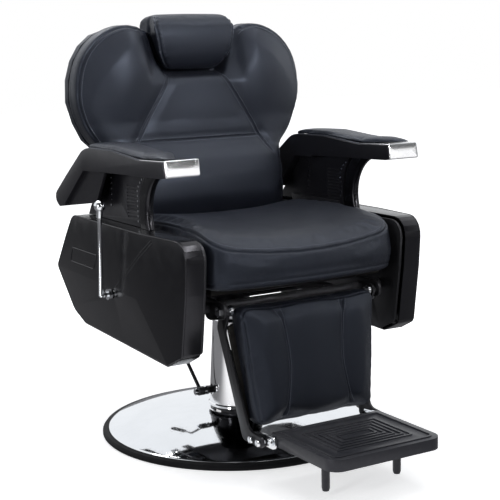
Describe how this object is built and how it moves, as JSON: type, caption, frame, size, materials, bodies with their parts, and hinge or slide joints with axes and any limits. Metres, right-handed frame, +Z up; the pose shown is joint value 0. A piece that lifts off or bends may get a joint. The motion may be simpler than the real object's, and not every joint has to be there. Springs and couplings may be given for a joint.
{
  "type": "hydraulic barber chair",
  "caption": "Reclining barber chair on a round hydraulic base, with padded seat, back, headrest, armrests, leg rest and folding footplate.",
  "frame": {"origin": "on the floor, on the axis of the pump and of the seat's swivel", "axes": "+Z up; the sitter faces -Y; +X is the sitter's left"},
  "size_m": [0.739, 1, 1.06],
  "materials": {
    "chrome": "polished chrome plate",
    "zinc_steel": "bright zinc-plated steel",
    "black_steel": "satin black powder coat",
    "vinyl": "black leatherette, fine grain, soft sheen",
    "panel_plastic": "semi-gloss black moulded plastic",
    "arm_plastic": "satin black moulded plastic",
    "foot_plastic": "satin black cast plate with raised ribs",
    "rubber": "black rubber",
    "plywood": "plywood stained black"
  },
  "bodies": {
    "base": {"base_pan": "chrome", "floor_ring": "rubber", "pump_flange": "black_steel", "pump_studs": "zinc_steel", "pump_body": "black_steel", "pump_barrel": "zinc_steel", "pump_gland": "zinc_steel", "pump_skirt": "chrome"},
    "pedal": {"pedal_shaft": "chrome", "pedal_rod": "black_steel", "pedal_pad": "rubber"},
    "lift": {"pump_ram": "chrome", "thrust_washer": "zinc_steel"},
    "seat": {"swivel_plate": "black_steel", "frame_rails": "black_steel", "cross_tubes": "black_steel", "front_crossbar": "black_steel", "leg_hangers": "black_steel", "leg_pivot_bolts": "chrome", "back_pivot_shaft": "zinc_steel", "side_plate_right": "black_steel", "side_plate_left": "black_steel", "seat_board": "plywood", "seat_cushion": "vinyl", "side_panel_right": "panel_plastic", "side_panel_left": "panel_plastic", "panel_screws": "zinc_steel", "lever_bush": "zinc_steel", "arm_frame_right": "arm_plastic", "arm_frame_left": "arm_plastic", "arm_post_right": "arm_plastic", "arm_post_left": "arm_plastic", "arm_rivets": "chrome", "arm_body_right": "arm_plastic", "arm_body_left": "arm_plastic", "arm_pad_right": "vinyl", "arm_pad_left": "vinyl", "arm_cap_right": "chrome", "arm_cap_left": "chrome", "gas_bracket": "black_steel"},
    "recline_lever": {"lever_shaft": "chrome", "lever_rod": "chrome", "lever_knob": "chrome"},
    "backrest": {"back_straps": "black_steel", "crank_tube": "black_steel", "back_board": "plywood", "back_cover": "vinyl", "back_cushion": "vinyl", "headrest_sockets": "zinc_steel"},
    "headrest": {"headrest_posts": "chrome", "headrest_cushion": "vinyl"},
    "leg_rest": {"leg_bars": "black_steel", "leg_board": "plywood", "leg_pad": "vinyl", "footplate_arms": "chrome"},
    "footplate": {"footplate": "foot_plastic", "footplate_legs": "black_steel"},
    "gas_spring": {"gas_cylinder": "black_steel"},
    "gas_spring_rod": {"gas_rod": "chrome"},
    "push_link": {"push_link": "zinc_steel"}
  },
  "joints": [
    {"name": "pedal_press", "type": "hinge", "parent": "base", "child": "pedal", "pos_m": [-0.1, 0.013, 0.107], "axis": [-1, 0, 0], "range_deg": [0, 18], "stiffness_Nm_per_rad": 2, "springref_deg": -34.38},
    {"name": "seat_lift", "type": "slide", "parent": "base", "child": "lift", "axis": [0, 0, 1], "range_m": [0, 0.15]},
    {"name": "seat_swivel", "type": "hinge", "parent": "lift", "child": "seat", "pos_m": [0, 0, 0.333], "axis": [0, 0, 1], "continuous": true},
    {"name": "lever_pull", "type": "hinge", "parent": "seat", "child": "recline_lever", "pos_m": [-0.32, -0.002, 0.394], "axis": [-1, 0, 0], "range_deg": [0, 25], "stiffness_Nm_per_rad": 4, "springref_deg": -11.46},
    {"name": "recline", "type": "hinge", "parent": "seat", "child": "backrest", "pos_m": [0, 0.19, 0.44], "axis": [-1, 0, 0], "range_deg": [0, 50]},
    {"name": "headrest_slide", "type": "slide", "parent": "backrest", "child": "headrest", "axis": [0, 0, 1], "range_m": [0, 0.08]},
    {"name": "leg_lift", "type": "hinge", "parent": "seat", "child": "leg_rest", "pos_m": [0, -0.308, 0.388], "axis": [-1, 0, 0], "range_deg": [0, 50]},
    {"name": "footplate_fold", "type": "hinge", "parent": "leg_rest", "child": "footplate", "pos_m": [0, -0.42, 0.1], "axis": [-1, 0, 0], "range_deg": [0, 85]},
    {"name": "link_turn", "type": "hinge", "parent": "backrest", "child": "push_link", "pos_m": [0.154, 0.2175, 0.39237], "axis": [-1, 0, 0], "range_deg": [-50, 0]},
    {"name": "gas_swing", "type": "hinge", "parent": "seat", "child": "gas_spring", "pos_m": [-0.185, -0.15, 0.352], "axis": [1, 0, 0], "range_deg": [0, 0.5]},
    {"name": "gas_stroke", "type": "slide", "parent": "gas_spring", "child": "gas_spring_rod", "axis": [0, 0.9897, 0.1435], "range_m": [-0.034, 0]}
  ],
  "couplings": [
    {"joint": "leg_lift", "follows": "recline", "ratio": 1},
    {"joint": "link_turn", "follows": "recline", "ratio": -1},
    {"joint": "gas_swing", "follows": "recline", "ratio": 0.00848},
    {"joint": "gas_stroke", "follows": "recline", "m_per_rad": -0.0383}
  ]
}
